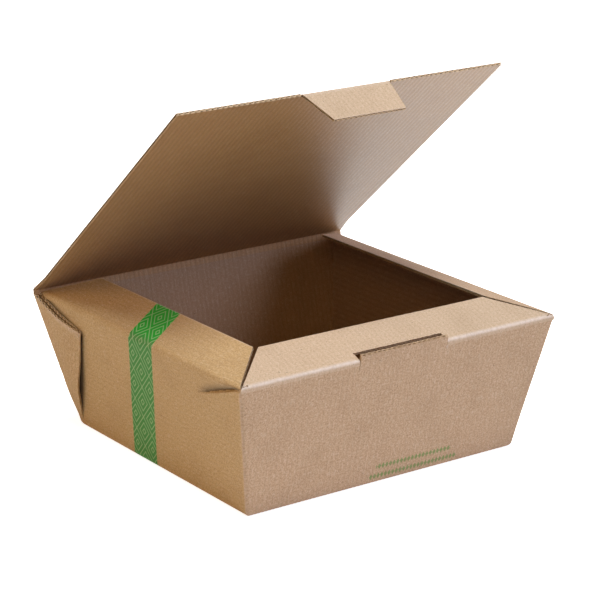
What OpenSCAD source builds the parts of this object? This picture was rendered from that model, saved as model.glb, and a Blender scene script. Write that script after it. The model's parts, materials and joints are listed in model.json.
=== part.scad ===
// Takeaway box folded from one sheet of corrugated board: a tray with leaning walls, three rim flaps,
// and a lid hinged on the back wall, held open, whose tuck tab goes into a slot behind the front crease.
// Millimetres, +Z up, origin at the middle of the base, front wall towards -Y.

/* [Board] */
// Thickness of the corrugated board
board_t = 1.5; // [1:0.1:2.5]
// Distance from one flute to the next
flute_pitch = 3.3; // [2.4:0.1:6]
// Thickness of each liner and of the fluted sheet between them
paper_t = 0.25; // [0.15:0.05:0.4]

/* [Tray] */
// Width between the side creases at the rim
rim_w = 210; // [150:1:280]
// Depth between the front and back creases at the rim
rim_d = 210; // [150:1:280]
// Height of the rim creases above the table
tray_h = 80.5; // [50:1:120]
// How far each side wall leans out over its height
side_flare = 15; // [4:0.5:30]
// How far the front and back walls lean out over their height
front_flare = 18; // [4:0.5:30]
// Outer radius of the folds round the base
base_fold_r = 3.8; // [3:0.5:8]

/* [Rim flaps] */
// Width of each rim flap from its crease to its free edge
flap_w = 28.5; // [15:0.5:40]
// Angle that the flaps stand up from level with the lid open
flap_tilt = 18; // [0:1:40]
// Clear width of the front mitres with the flaps level
mitre_gap = 1; // [1:0.1:3]
// Distance from the back crease to the rear end of a side flap's crease
rear_gap = 3; // [2.5:0.5:15]
// How far a side flap's rear edge runs forward from its crease to its free edge
rear_cut = 23; // [0:0.5:40]

/* [Lid] */
// Width of the lid
lid_w = 213; // [140:1:282]
// How far the closed lid's front fold stands behind the front crease
lid_set_back = 5.5; // [4:0.25:8]
// Angle that the lid stands open from level
lid_open = 40; // [0:1:90]

/* [Tuck tab] */
// Width of the tuck tab at its fold
tab_w = 57; // [30:1:100]
// How far each side of the tab tapers in towards its free edge
tab_taper = 5; // [0:0.5:10]
// Length of the tab from its fold to its free edge
tab_l = 24; // [10:0.5:40]
// Angle that the tab is folded down from the lid's plane with the lid open
tab_open = 65; // [0:0.2:90]
// Width of the relief cut at each end of the tab's fold
tab_relief = 1; // [0.5:0.1:3]

/* [Slot and tongue] */
// Height of the tongue above the front crease
tongue_h = 2.8; // [1:0.1:6]
// Distance from the front flap's fold line to the slot's far edge
slot_reach = 6.5; // [5.5:0.25:10]
// Clear width between the tab and the slot's end on each side
slot_side_gap = 0.8; // [0.3:0.1:3]
// How far the end cuts beside the tongue reach down the front wall
end_cut_l = 4; // [1:0.5:10]
// Depth to which the flutes stand open in the tongue's top edge
mouth_depth = 3; // [1:0.5:6]

/* [Corner webs] */
// Length of the diagonal crease that folds each web in two
web_l = 73.5; // [30:0.5:75]
// Gap between the two layers of a folded web
layer_gap = 0.8; // [0.2:0.1:1]
// Angle that the rear webs stand away from the side walls
web_spread = 2; // [0:0.5:6]
// Height above the base crease where the webs begin
web_start = 5; // [2:0.5:15]
// How deep a rear web is pressed into its wall at the base, running out towards the rim
web_sink = 3.4; // [0:0.1:3.4]

/* [Dents] */
// How far a dent reaches back from the front corner
dent_reach = 35; // [15:1:60]
// How far the dent's lower lip drops below the side crease
dent_drop = 14; // [5:0.5:25]
// Depth of the dent behind its lower lip
dent_depth = 0.9; // [0.2:0.1:1.2]
// Distance back from the front corner to where the dent runs out at the crease
dent_top = 48; // [20:1:80]
// Place of the deepest point along the lip, as a share of the lip's length
dent_middle = 0.55; // [0.3:0.05:0.8]

/* [Clearance] */
// Clear gap between a fold's round edge and the board that carries it
fold_gap = 0.3; // [0.2:0.05:0.6]

/* [Hidden] */
$fn = 48;
eps = 0.01;
overrun = 20;

kraft_tray = "#b39a7c";
kraft_lid = "#a88b6a";
kraft_tab = "#b2946f";
kraft_flap = "#c3a67c";

fold_r = board_t / 2;
side_lean = atan(side_flare / tray_h);
front_lean = atan(front_flare / tray_h);
side_slope = tray_h / cos(side_lean);
front_slope = tray_h / cos(front_lean);
base_w = rim_w - 2 * side_flare;
base_d = rim_d - 2 * front_flare;

// Folds of the flaps lie in mid board, with the level flap's top flush with the rim
flap_axis_z = tray_h - fold_r;
flap_axis_x = rim_w / 2 - (tray_h - flap_axis_z) * tan(side_lean) - fold_r / cos(side_lean);
flap_axis_y = rim_d / 2 - (tray_h - flap_axis_z) * tan(front_lean) - fold_r / cos(front_lean);
wall_top = tray_h - board_t - fold_gap;
// Half the mitre's clear width, measured along either crease
mitre_step = mitre_gap / 2 / cos(45);

// The lid's fold lies in mid board above the back wall, with the closed lid just over the level flaps
lid_axis_z = tray_h + fold_gap + fold_r;
lid_axis_y = rim_d / 2 + (lid_axis_z - tray_h) * tan(front_lean) - fold_r / cos(front_lean);
lid_l = lid_axis_y + rim_d / 2 - lid_set_back;

slot_w = tab_w + 2 * slot_side_gap;
tongue_w = slot_w - 2 * fold_gap;
tongue_slope = (tray_h + tongue_h) / cos(front_lean);

// The web between two walls halves the angle that their edges and the base leave in the flat sheet
side_edge_lean = atan(front_flare / side_slope);
front_edge_lean = atan(side_flare / front_slope);
web_angle = (90 - side_edge_lean - front_edge_lean) / 2;
web_edge = side_slope / cos(side_edge_lean);
web_t = 2 * board_t + layer_gap;

// Trapezoid on its short side, with its lower corners rounded as the base folds are
module fold_profile(half_base, lean, height, r) {
    cut_back = r / tan((90 + lean) / 2);
    flat = half_base - cut_back;
    side_x = half_base + cut_back * sin(lean);
    side_z = cut_back * cos(lean);
    top_x = half_base + height * tan(lean);
    polygon([[-flat, 0], [flat, 0], [side_x, side_z], [top_x, height],
             [-top_x, height], [-side_x, side_z]]);
    for (side = [-1, 1]) translate([side * flat, r]) circle(r);
}

// Half the base of a profile that lies inset inside the outer one, at that height
function inner_half(half_base, lean, inset) = half_base + inset * tan(lean) - inset / cos(lean);

// Solid tub with four leaning sides, drawn in from the tray's outer faces by inset
module tub(inset, top) {
    long = rim_w + rim_d;
    intersection() {
        translate([0, long / 2, inset]) rotate([90, 0, 0]) linear_extrude(long)
            fold_profile(inner_half(base_w / 2, side_lean, inset), side_lean, top - inset,
                         base_fold_r - inset);
        translate([-long / 2, 0, inset]) rotate([90, 0, 90]) linear_extrude(long)
            fold_profile(inner_half(base_d / 2, front_lean, inset), front_lean, top - inset,
                         base_fold_r - inset);
    }
}

// What is cut from the walls above their creases, leaving the back wall and the tongue's strip
module above_the_creases() {
    strip_w = tongue_w + fold_gap;
    back_inner = rim_d / 2 - (tray_h - wall_top) * tan(front_lean) - board_t / cos(front_lean);
    difference() {
        translate([-rim_w, -rim_d, wall_top])
            cube([2 * rim_w, rim_d + back_inner, overrun]);
        translate([-strip_w / 2, -rim_d, wall_top - eps])
            cube([strip_w, rim_d / 2 + overrun, overrun + 2 * eps]);
    }
    translate([-rim_w, 0, tray_h]) cube([2 * rim_w, rim_d, overrun]);
}

// Lays a flat shape on the right wall's outer face: x is the shape's world Y, y runs up the slope
module on_right_wall() {
    translate([base_w / 2, 0, 0]) rotate([0, side_lean, 0]) rotate([90, 0, 90]) children();
}

// One folded web beside its corner edge, which runs up along y: two layers and the bead that joins them
module web() {
    bead_r = web_t / 2;
    inset = bead_r / cos(web_angle);
    corner = [-web_l * sin(web_angle), web_l * cos(web_angle)];
    layer = [[0, web_start], [0, web_edge], corner + [inset, 0],
             [inset - web_start * tan(web_angle), web_start]];
    for (z = [0, board_t + layer_gap]) translate([0, 0, z]) linear_extrude(board_t) polygon(layer);
    linear_extrude(web_t) polygon([[-board_t, web_start + 2 * board_t], [0, web_start],
                                   [0, web_edge], [-board_t, web_edge - board_t]]);
    bead_l = web_l - web_start / cos(web_angle);
    translate([inset - web_start * tan(web_angle), web_start, bead_r]) rotate([0, 0, web_angle])
        rotate([-90, 0, 0]) cylinder(r = bead_r, h = bead_l);
}

// Rear web of the right side, outside the wall and standing a little away from it towards the rim
module rear_web() {
    rise = asin(web_sink / web_edge);
    on_right_wall() difference() {
        translate([base_d / 2, 0, -web_sink]) rotate([0, 0, -side_edge_lean])
            rotate([rise, 0, 0]) rotate([0, web_spread, 0]) web();
        translate([0, -overrun, -fold_r - overrun]) cube([rim_d, side_slope + 2 * overrun, overrun]);
    }
}

// Front web of the right side, flat against the wall's inner face
module front_web() {
    on_right_wall() translate([-base_d / 2, 0, -board_t - web_t + eps])
        rotate([0, 0, side_edge_lean]) mirror([1, 0, 0]) web();
}

// Strip of the back wall that wraps round behind a rear web
module back_wrap() {
    wrap = web_t + board_t * tan(web_spread);
    low_wrap = wrap - web_sink * (1 - web_start / web_edge);
    start_x = base_w / 2 + web_start * tan(side_lean);
    translate([0, base_d / 2, 0]) rotate([90 - front_lean, 0, 0]) linear_extrude(board_t)
        polygon([[start_x - board_t, web_start], [start_x + low_wrap, web_start],
                 [rim_w / 2 + wrap, front_slope], [rim_w / 2 - board_t, front_slope]]);
}

// Hollows in the cross-section of fluted board w wide, centred on x and on the board's thickness
module flute_hollows(w) {
    half_wave = (board_t - 3 * paper_t) / 2;
    count = floor((w - 2 * paper_t) / flute_pitch);
    // Hollow between one liner and the wave, as shares of the pitch and of the wave's depth
    arch = [[-0.4, 1], [-0.27, 0.1], [-0.12, -0.85], [0.12, -0.85], [0.27, 0.1], [0.4, 1]];
    for (i = [0 : count - 1], up = [-1, 1]) {
        x = (i - (count - 1) / 2 + up / 4) * flute_pitch;
        polygon([for (p = arch) [x + p[0] * flute_pitch,
                                 up * (p[1] * half_wave + paper_t / 2)]]);
    }
}

// Lays a shape on the front wall's outer face: y runs up the slope and z into the board
module on_front_wall() {
    mirror([0, 1, 0]) translate([0, base_d / 2, 0]) rotate([90 - front_lean, 0, 0]) children();
}

// Open flutes in the tongue's top edge, and the cuts that part the tongue from the wall beside it
module tongue_cuts() {
    wall_slope = wall_top / cos(front_lean);
    on_front_wall() {
        translate([0, tongue_slope + eps, fold_r]) rotate([90, 0, 0])
            linear_extrude(mouth_depth) flute_hollows(tongue_w);
        for (side = [0, 1]) mirror([side, 0, 0])
            translate([tongue_w / 2, wall_slope - end_cut_l, -board_t])
                cube([fold_gap, end_cut_l + overrun, 3 * board_t]);
    }
}

// Hollow pressed into the right wall below its crease, deepest against its lower lip
module dent() {
    front = [-base_d / 2 - front_flare, side_slope];
    lip_end = front + [dent_reach, -dent_drop];
    deepest = front + dent_middle * [dent_reach, -dent_drop];
    on_right_wall() polyhedron(
        points = [[front[0], front[1], eps], [lip_end[0], lip_end[1], eps],
                  [front[0] + dent_top, front[1], eps], [deepest[0], deepest[1], -dent_depth]],
        faces = [[0, 2, 1], [0, 3, 2], [2, 3, 1], [1, 3, 0]]);
}

module tray() {
    color(kraft_tray) {
        difference() {
            union() {
                difference() {
                    tub(0, tray_h + tongue_h);
                    tub(board_t, tray_h + tongue_h + overrun);
                }
                intersection() {
                    for (side = [0, 1]) mirror([side, 0, 0]) front_web();
                    tub(board_t - eps, tray_h);
                }
                for (side = [0, 1]) mirror([side, 0, 0]) {
                    rear_web();
                    back_wrap();
                }
            }
            above_the_creases();
            tongue_cuts();
            for (side = [0, 1]) mirror([side, 0, 0]) dent();
        }
    }
}

// Cross-section of fluted board w wide, centred on x and on its own thickness
module flute_section(w) {
    difference() {
        square([w, board_t], center = true);
        flute_hollows(w);
    }
}

// Panel of fluted board from the origin towards -Y, w wide, with its flutes along Y
module fluted_along(w, l) {
    rotate([90, 0, 0]) linear_extrude(l) flute_section(w);
}

// Round edge of a folded panel, along X through the origin
module fold_bead(w) {
    rotate([0, 90, 0]) cylinder(r = fold_r, h = w, center = true);
}

module lid() {
    panel_l = lid_l + fold_r;
    recess_w = tab_w + 2 * tab_relief;
    crushed = 2 * board_t;
    color(kraft_lid) translate([0, lid_axis_y, lid_axis_z]) rotate([-lid_open, 0, 0]) {
        fold_bead(lid_w);
        translate([0, -crushed / 2, 0]) cube([lid_w, crushed, board_t], center = true);
        difference() {
            translate([0, -crushed + eps, 0]) fluted_along(lid_w, panel_l - crushed);
            translate([-recess_w / 2, -panel_l - overrun, -board_t])
                cube([recess_w, 2 * fold_r + fold_gap + overrun, 2 * board_t]);
        }
    }
}

module tuck_tab() {
    color(kraft_tab) translate([0, lid_axis_y, lid_axis_z]) rotate([-lid_open, 0, 0])
        translate([0, -lid_l, 0]) rotate([tab_open, 0, 0]) {
            fold_bead(tab_w);
            translate([0, -board_t / 2, 0]) cube([tab_w, board_t, board_t], center = true);
            intersection() {
                translate([0, -board_t + eps, 0]) fluted_along(tab_w, tab_l - board_t);
                translate([0, 0, -board_t]) linear_extrude(2 * board_t)
                    polygon([[-tab_w / 2, 0], [tab_w / 2, 0], [tab_w / 2 - tab_taper, -tab_l],
                             [tab_taper - tab_w / 2, -tab_l]]);
            }
        }
}

// Right rim flap about its own fold line, lying level, with its free edge at -flap_w
module level_side_flap() {
    front = -flap_axis_y + mitre_step;
    rear = rim_d / 2 - rear_gap;
    intersection() {
        translate([0, 0, -board_t]) linear_extrude(2 * board_t)
            polygon([[fold_r, front - fold_r], [-flap_w, front + flap_w],
                     [-flap_w, rear - rear_cut], [0, rear], [fold_r, rear]]);
        union() {
            rotate([0, 0, 90]) fold_bead(rim_d);
            translate([-board_t, -rim_d / 2, -fold_r]) cube([board_t, rim_d, board_t]);
            translate([-board_t - (flap_w - board_t) / 2 + eps, rim_d / 2, 0])
                fluted_along(flap_w - board_t, rim_d);
        }
    }
}

module right_rim_flap() {
    color(kraft_flap) translate([flap_axis_x, 0, flap_axis_z]) rotate([0, flap_tilt, 0])
        level_side_flap();
}

module left_rim_flap() {
    color(kraft_flap) mirror([1, 0, 0]) translate([flap_axis_x, 0, flap_axis_z])
        rotate([0, flap_tilt, 0]) level_side_flap();
}

module front_rim_flap() {
    half_w = flap_axis_x - mitre_step;
    color(kraft_flap) translate([0, -flap_axis_y, flap_axis_z]) rotate([flap_tilt, 0, 0])
        difference() {
            intersection() {
                translate([0, 0, -board_t]) linear_extrude(2 * board_t)
                    polygon([[-half_w - fold_r, -fold_r], [half_w + fold_r, -fold_r],
                             [half_w - flap_w, flap_w], [flap_w - half_w, flap_w]]);
                union() {
                    fold_bead(rim_w);
                    translate([-rim_w / 2, 0, -fold_r]) cube([rim_w, board_t, board_t]);
                    translate([0, flap_w, 0]) fluted_along(rim_w, flap_w - board_t + eps);
                }
            }
            translate([-slot_w / 2, -overrun, -board_t])
                cube([slot_w, slot_reach + overrun, 2 * board_t]);
        }
}

tray();
lid();
tuck_tab();
left_rim_flap();
right_rim_flap();
front_rim_flap();
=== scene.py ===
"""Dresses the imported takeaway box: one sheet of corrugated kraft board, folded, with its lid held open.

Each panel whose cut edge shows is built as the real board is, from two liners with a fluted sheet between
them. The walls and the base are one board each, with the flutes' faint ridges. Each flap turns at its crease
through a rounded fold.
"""

import json
import logging
import math
from dataclasses import dataclass, field
from enum import Enum
from functools import partial
from typing import Any, Callable, Sequence

import bpy
import numpy as np
from mathutils import Matrix, Vector


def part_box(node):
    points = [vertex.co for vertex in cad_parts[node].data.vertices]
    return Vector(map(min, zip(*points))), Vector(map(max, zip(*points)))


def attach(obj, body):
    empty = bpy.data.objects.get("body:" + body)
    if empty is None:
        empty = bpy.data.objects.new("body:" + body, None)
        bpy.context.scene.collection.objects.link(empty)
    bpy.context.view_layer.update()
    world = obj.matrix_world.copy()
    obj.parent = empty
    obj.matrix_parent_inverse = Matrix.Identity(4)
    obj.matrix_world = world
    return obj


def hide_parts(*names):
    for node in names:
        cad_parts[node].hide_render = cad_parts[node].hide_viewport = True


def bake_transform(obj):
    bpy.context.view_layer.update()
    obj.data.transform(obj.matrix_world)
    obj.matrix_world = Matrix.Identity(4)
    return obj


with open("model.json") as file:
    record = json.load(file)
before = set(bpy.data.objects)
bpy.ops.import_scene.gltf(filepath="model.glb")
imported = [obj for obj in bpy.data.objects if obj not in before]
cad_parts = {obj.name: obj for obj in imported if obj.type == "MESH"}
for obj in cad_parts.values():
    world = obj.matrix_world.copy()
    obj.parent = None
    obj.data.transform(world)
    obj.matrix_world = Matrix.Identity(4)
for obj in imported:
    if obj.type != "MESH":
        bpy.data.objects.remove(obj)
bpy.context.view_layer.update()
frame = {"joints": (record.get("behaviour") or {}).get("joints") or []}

log = logging.getLogger("takeaway_box")

MM = 0.001
# How far apart the noise of a sheet's two faces is taken, in millimetres, so that their fibres differ
FACE_SHIFT = 500.0
# Points that agree to this many digits of a millimetre are one point
WELD_DIGITS = 4
# Edges sharper than this many degrees are drawn sharp
SHARP_EDGE = 32.0

Array = np.ndarray


class Facing(Enum):
    """Which way a side of the box faces, as the outward axis and the axis along its crease."""

    FRONT = ((0, -1), (1, 0))
    BACK = ((0, 1), (1, 0))
    LEFT = ((-1, 0), (0, 1))
    RIGHT = ((1, 0), (0, 1))

    def place(self, out: Array, along: Array, up: Array) -> Array:
        """Turns a side's own distances into points of the box.

        Args:
            out: Distance outwards from the middle of the base.
            along: Distance along the crease.
            up: Height above the table.

        Returns:
            The points, one row of three for each entry.
        """
        outward, crease = self.value
        x = out * outward[0] + along * crease[0]
        y = out * outward[1] + along * crease[1]
        return np.stack([x, y, up], axis=-1)


class Skin(Enum):
    """Material index of a face, by which paper surface shows there."""

    OUTSIDE = 0
    INSIDE = 1
    CUT = 2
    FLUTING = 3


def joint_point(name: str) -> Array:
    """Place of a joint of the frame, in millimetres."""
    joint = next(j for j in frame["joints"] if j["name"] == name)
    return np.array(joint["pos_m"]) / MM


@dataclass(frozen=True)
class BoardStock:
    """The corrugated board: E flute, in millimetres."""

    thickness: float = 1.5
    pitch: float = 3.3
    paper: float = 0.25
    dip_outside: float = 0.02
    dip_inside: float = 0.09
    samples: int = 8

    def ripple(self, across: Array) -> Array:
        """Height of the fluted sheet as a share, from -1 to 1, at places across the flutes."""
        return np.sin(2 * math.pi * across / self.pitch)

    def columns(
        self, low: float, high: float, samples: int | None = None, extra: Sequence[float] = ()
    ) -> Array:
        """Places across the flutes at which the board is sampled.

        Args:
            low: First place.
            high: Last place.
            samples: Samples in each flute, or None for the stock's own.
            extra: Places that have to be among them, such as the sides of a notch.

        Returns:
            The places in rising order.
        """
        step = self.pitch / (samples or self.samples)
        first, last = math.ceil(low / step), math.floor(high / step)
        regular = np.arange(first, last + 1) * step
        fixed = np.array([low, high, *extra])
        # A regular place that is close to a fixed one is left out, so that no cell is a sliver
        near = np.abs(regular[:, None] - fixed[None, :]).min(axis=1) < step / 4
        return np.sort(np.concatenate([regular[~near], fixed]))


@dataclass(frozen=True)
class BoxSizes:
    """Driving sizes of the folded box, in millimetres and degrees, with the hinge lines from the frame."""

    side_flare: float = 15.0
    front_flare: float = 18.0
    base_fold_r: float = 3.8
    flap_w: float = 28.5
    flap_tilt: float = 18.0
    mitre_gap: float = 1.0
    rear_gap: float = 3.0
    rear_cut: float = 23.0
    lid_open: float = 40.0
    tab_l: float = 24.0
    tab_open: float = 65.0
    tab_taper: float = 5.0
    tab_relief: float = 1.0
    slot_reach: float = 6.5
    slot_side_gap: float = 0.8
    end_cut: float = 5.1
    fold_gap: float = 0.3
    web_l: float = 73.5
    layer_gap: float = 0.8
    web_spread: float = 2.0
    web_start: float = 5.0
    web_sink: float = 3.4
    crease_r: float = 1.0
    crease_reach: float = 2.5
    board: BoardStock = field(default_factory=BoardStock)

    @property
    def tray_h(self) -> float:
        """Height of the rim creases, from the flaps' hinge line."""
        return float(joint_point("right_flap_fold")[2]) + self.board.thickness / 2

    @property
    def rim_w(self) -> float:
        """Width between the side creases at the rim."""
        return 2 * self.rim_half("right_flap_fold", 0, self.side_lean)

    @property
    def rim_d(self) -> float:
        """Depth between the front and back creases at the rim."""
        return 2 * self.rim_half("front_flap_fold", 1, self.front_lean)

    def rim_half(self, joint: str, axis: int, lean: float) -> float:
        """Half the rim's size on one axis, from the hinge line that lies in mid board there."""
        half_t = self.board.thickness / 2
        return abs(float(joint_point(joint)[axis])) + half_t * math.tan(lean) + half_t / math.cos(lean)

    @property
    def side_lean(self) -> float:
        """Lean of the side walls from upright, in radians."""
        return math.atan(self.side_flare / self.tray_h)

    @property
    def front_lean(self) -> float:
        """Lean of the front and back walls from upright, in radians."""
        return math.atan(self.front_flare / self.tray_h)

    @property
    def lid_l(self) -> float:
        """Length of the lid from its hinge line to the tab's fold line."""
        return float(np.linalg.norm(joint_point("tab_fold") - joint_point("lid_hinge")))

    @property
    def lid_w(self) -> float:
        """Width of the lid."""
        low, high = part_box("lid")
        return (high.x - low.x) / MM

    @property
    def tab_w(self) -> float:
        """Width of the tuck tab at its fold."""
        low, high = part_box("tuck_tab")
        return (high.x - low.x) / MM

    @property
    def tongue_top(self) -> float:
        """Height of the tongue's top edge above the table."""
        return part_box("tray")[1].z / MM

    @property
    def slot_w(self) -> float:
        """Width of the slot behind the tongue."""
        return self.tab_w + 2 * self.slot_side_gap

    @property
    def web_t(self) -> float:
        """Thickness of a folded web, with its two layers and the gap between them."""
        return 2 * self.board.thickness + self.layer_gap

    @property
    def web_edge(self) -> float:
        """Length of a web along the wall's end."""
        return self.tray_h / math.cos(self.side_lean) / math.cos(self.side_edge_lean)

    @property
    def wrap(self) -> float:
        """How far the back wall reaches past the side wall at the rim, over a folded web."""
        return self.web_t + self.board.thickness * math.tan(math.radians(self.web_spread))

    @property
    def side_edge_lean(self) -> float:
        """Lean of a side wall's end within its own plane, in radians."""
        return math.atan(self.front_flare / (self.tray_h / math.cos(self.side_lean)))

    @property
    def front_edge_lean(self) -> float:
        """Lean of the front wall's end within its own plane, in radians."""
        return math.atan(self.side_flare / (self.tray_h / math.cos(self.front_lean)))

    @property
    def web_angle(self) -> float:
        """Angle between a web's diagonal crease and the wall's end, in radians."""
        return (math.pi / 2 - self.side_edge_lean - self.front_edge_lean) / 2


SIZES = BoxSizes()
BOARD = SIZES.board
HALF_T = BOARD.thickness / 2


@dataclass(frozen=True)
class Fold:
    """A board that turns at one crease, in the plane across it.

    The line in mid board comes in along one heading and leaves along the other, with a round bend between.
    Distances are measured from the hinge line: below zero before the fold, above zero after it.
    """

    hinge: tuple[float, float]
    heading_in: float
    heading_out: float
    radius: float

    @property
    def turn(self) -> float:
        """How far the board turns, in radians."""
        return self.heading_out - self.heading_in

    @property
    def reach(self) -> float:
        """Distance from the hinge line to where the bend begins."""
        return self.radius * math.tan(self.turn / 2)

    def rows(self, steps: int = 8) -> Array:
        """Distances at which the bend is sampled."""
        return np.linspace(-self.reach, self.reach, steps + 1)

    def at(self, s: Array, off: Array) -> tuple[Array, Array]:
        """Place at a distance along the board and off its middle.

        Args:
            s: Distance from the hinge line along the board.
            off: Distance off mid board, above zero towards the outside of the bend.

        Returns:
            The distance outwards and the height.
        """
        share = np.clip((s + self.reach) / (2 * self.reach), 0, 1)
        heading = self.heading_in + share * self.turn
        start_a = self.hinge[0] - self.reach * math.cos(self.heading_in)
        start_z = self.hinge[1] - self.reach * math.sin(self.heading_in)
        bend_a = start_a + self.radius * (np.sin(heading) - math.sin(self.heading_in))
        bend_z = start_z - self.radius * (np.cos(heading) - math.cos(self.heading_in))
        straight = np.minimum(s + self.reach, 0) + np.maximum(s - self.reach, 0)
        a = bend_a + straight * np.cos(heading) + off * np.sin(heading)
        z = bend_z + straight * np.sin(heading) - off * np.cos(heading)
        return a, z


class PanelMesh:
    """Gathers closed sheets of paper and turns them into one object."""

    def __init__(self) -> None:
        """Starts with no sheets."""
        self.points: list[Array] = []
        self.blank: list[Array] = []
        self.wear_and_shade: list[Array] = []
        self.faces: list[tuple[int, ...]] = []
        self.skins: list[int] = []
        self.count = 0

    def add_sheet(
        self,
        top: Array,
        bottom: Array,
        blank: Array,
        wear_and_shade: Array,
        keep: Array | None = None,
        skins: tuple[Skin, Skin] = (Skin.OUTSIDE, Skin.INSIDE),
    ) -> None:
        """Adds one closed sheet from the grids of its two faces.

        Args:
            top: Points of one face, as rows by columns by three.
            bottom: Points of the other face, on the same grid.
            blank: Place of each point in the unfolded sheet, rows by columns by two.
            wear_and_shade: Wear and painted shade at each point, from 1 for scuffed pale to -1 for full
                painted shade.
            keep: Which cells of the grid are board, or None for all.
            skins: Paper surface of the two faces.
        """
        rows, cols = top.shape[:2]
        total = rows * cols
        index = np.arange(total).reshape(rows, cols)
        if keep is None:
            keep = np.ones((rows - 1, cols - 1), bool)
        corners = np.stack([index[:-1, :-1], index[:-1, 1:], index[1:, 1:], index[1:, :-1]], axis=-1)[keep]
        starts = corners.ravel()
        ends = np.roll(corners, -1, axis=1).ravel()
        # An edge that no second cell shares is on the sheet's rim, and gets a cut face
        rim = ~np.isin(starts * total + ends, ends * total + starts)
        walls = np.stack([ends[rim], starts[rim], starts[rim] + total, ends[rim] + total], axis=-1)
        quads = np.concatenate([corners, corners[:, ::-1] + total, walls])
        values = [skins[0].value, skins[1].value, Skin.CUT.value]
        skin = np.repeat(values, [len(corners), len(corners), len(walls)])

        # Points that fall together are welded, and faces that shrink to a line are left out
        points = np.concatenate([top.reshape(-1, 3), bottom.reshape(-1, 3)])
        used, where = np.unique(quads, return_inverse=True)
        rounded = np.round(points[used], WELD_DIGITS)
        _, first, same = np.unique(rounded, axis=0, return_index=True, return_inverse=True)
        quads = same.ravel()[where.reshape(quads.shape)]
        chosen = used[first]
        points = points[chosen]
        a, b, c, d = (points[quads[:, corner]] for corner in range(4))
        volume = (a * (np.cross(b, c) + np.cross(c, d))).sum()
        if volume < 0:
            quads = quads[:, ::-1]
        for quad, value in zip(quads.tolist(), skin.tolist()):
            face = tuple(v for i, v in enumerate(quad) if v != quad[i - 1])
            if len(set(face)) >= 3:
                self.faces.append(tuple(v + self.count for v in face))
                self.skins.append(value)
        both = np.concatenate([blank.reshape(-1, 2), blank.reshape(-1, 2)])
        side = np.repeat([0.0, FACE_SHIFT], total)
        self.points.append(points)
        self.blank.append(np.column_stack([both, side])[chosen])
        self.wear_and_shade.append(np.concatenate([wear_and_shade.ravel(), wear_and_shade.ravel()])[chosen])
        self.count += len(points)

    def build(self, name: str, finishes: Sequence[bpy.types.Material]) -> bpy.types.Object:
        """Makes the object.

        Args:
            name: Name of the piece.
            finishes: Materials in the order of Skin.

        Returns:
            The new object, in the scene.
        """
        mesh = bpy.data.meshes.new(name)
        mesh.from_pydata((np.concatenate(self.points) * MM).tolist(), [], self.faces)
        mesh.polygons.foreach_set("material_index", self.skins)
        for finish in finishes:
            mesh.materials.append(finish)
        blank = mesh.attributes.new("blank", "FLOAT_VECTOR", "POINT")
        blank.data.foreach_set("vector", (np.concatenate(self.blank) * MM).astype(np.float32).ravel())
        wear_and_shade = mesh.attributes.new("wear_and_shade", "FLOAT", "POINT")
        wear_and_shade.data.foreach_set("value", np.concatenate(self.wear_and_shade).astype(np.float32))
        mesh.validate()
        mesh.shade_smooth()
        mesh.set_sharp_from_angle(angle=math.radians(SHARP_EDGE))
        piece = bpy.data.objects.new(name, mesh)
        bpy.context.scene.collection.objects.link(piece)
        return piece


# Direction in radians and fineness of each wave of the board's unevenness
WAVES = ((0.3, 1.0), (1.4, 1.7), (2.3, 2.6), (3.5, 3.9))
WAVE_PHASE = 1.9
SEED_PHASE = 5.0


def pseudo_noise(x: Array, y: Array, seed: float) -> Array:
    """Smooth unevenness between about -1 and 1, from a few waves that never line up.

    Args:
        x: First coordinate, in radians of the longest wave.
        y: Second coordinate, likewise.
        seed: Shifts the waves, so that panels differ.

    Returns:
        The unevenness at each place.
    """
    total = np.zeros_like(x, dtype=float)
    for step, (turn, fineness) in enumerate(WAVES):
        lean = turn + seed
        wave = x * math.cos(lean) + y * math.sin(lean)
        total += np.sin(fineness * wave + WAVE_PHASE * step + SEED_PHASE * seed) / fineness
    return total / 2


@dataclass
class BoardGrid:
    """Grid over a panel, with everything that its board needs to be drawn.

    At each point s is the distance along the board across its crease, and c the distance along the crease.
    Depth sinks the outer face, keep says which cells are board, wear runs from 1 for scuffed pale to -1 for
    painted dark shade, and crush thickens the fluted sheet where a cut edge was pressed.
    """

    s: Array
    c: Array
    flutes_along_s: bool
    depth: Array | None = None
    keep: Array | None = None
    wear_and_shade: Array | None = None
    crush: Array | None = None
    blank_shift: float = 0.0

    def across(self) -> Array:
        """Distance across the flutes."""
        return self.c if self.flutes_along_s else self.s + self.blank_shift

    def blank(self) -> Array:
        """Place in the unfolded sheet: across the flutes, then along them."""
        along = self.s + self.blank_shift if self.flutes_along_s else self.c
        return np.stack([self.across(), along], axis=-1)


Placer = Callable[[Array, Array, Array], Array]


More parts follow.
